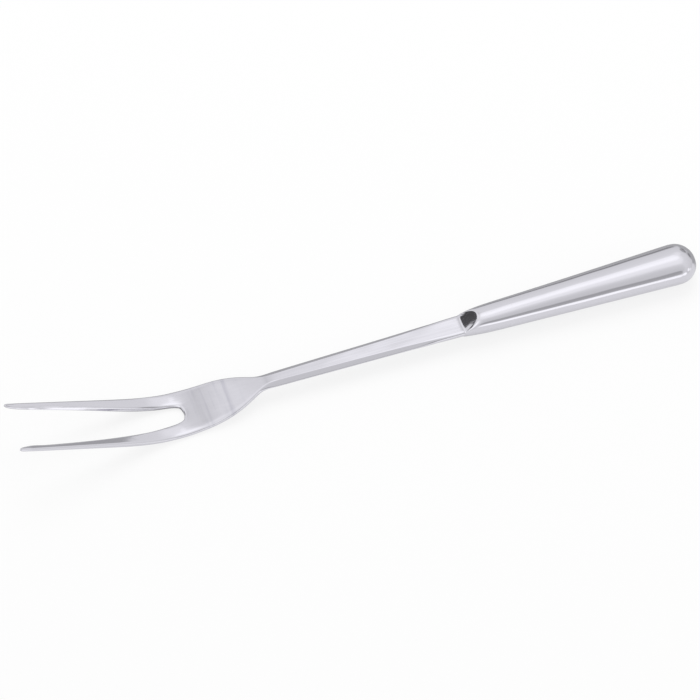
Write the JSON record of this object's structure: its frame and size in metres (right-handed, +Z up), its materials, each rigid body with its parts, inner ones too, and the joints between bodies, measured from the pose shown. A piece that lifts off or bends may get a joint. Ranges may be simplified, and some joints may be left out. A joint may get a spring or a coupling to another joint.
{
  "type": "carving fork",
  "caption": "Polished steel carving fork: two long straight tines on a sprung palm, a slim flat neck, and an oval handle that swells to a domed end and starts in a slanted flat face.",
  "frame": {"origin": "centre of the bounding box in X and Y, on the surface the fork lies on", "axes": "+X along the fork from the tips of the tines to the end of the handle, +Y across it, +Z up from the surface it lies on, the side the tines' tips rise to"},
  "size_m": [0.35, 0.0282, 0.0327],
  "materials": {
    "polished_steel": "stainless steel polished to a mirror"
  },
  "bodies": {
    "root": {"carving_fork": "polished_steel"}
  },
  "joints": []
}
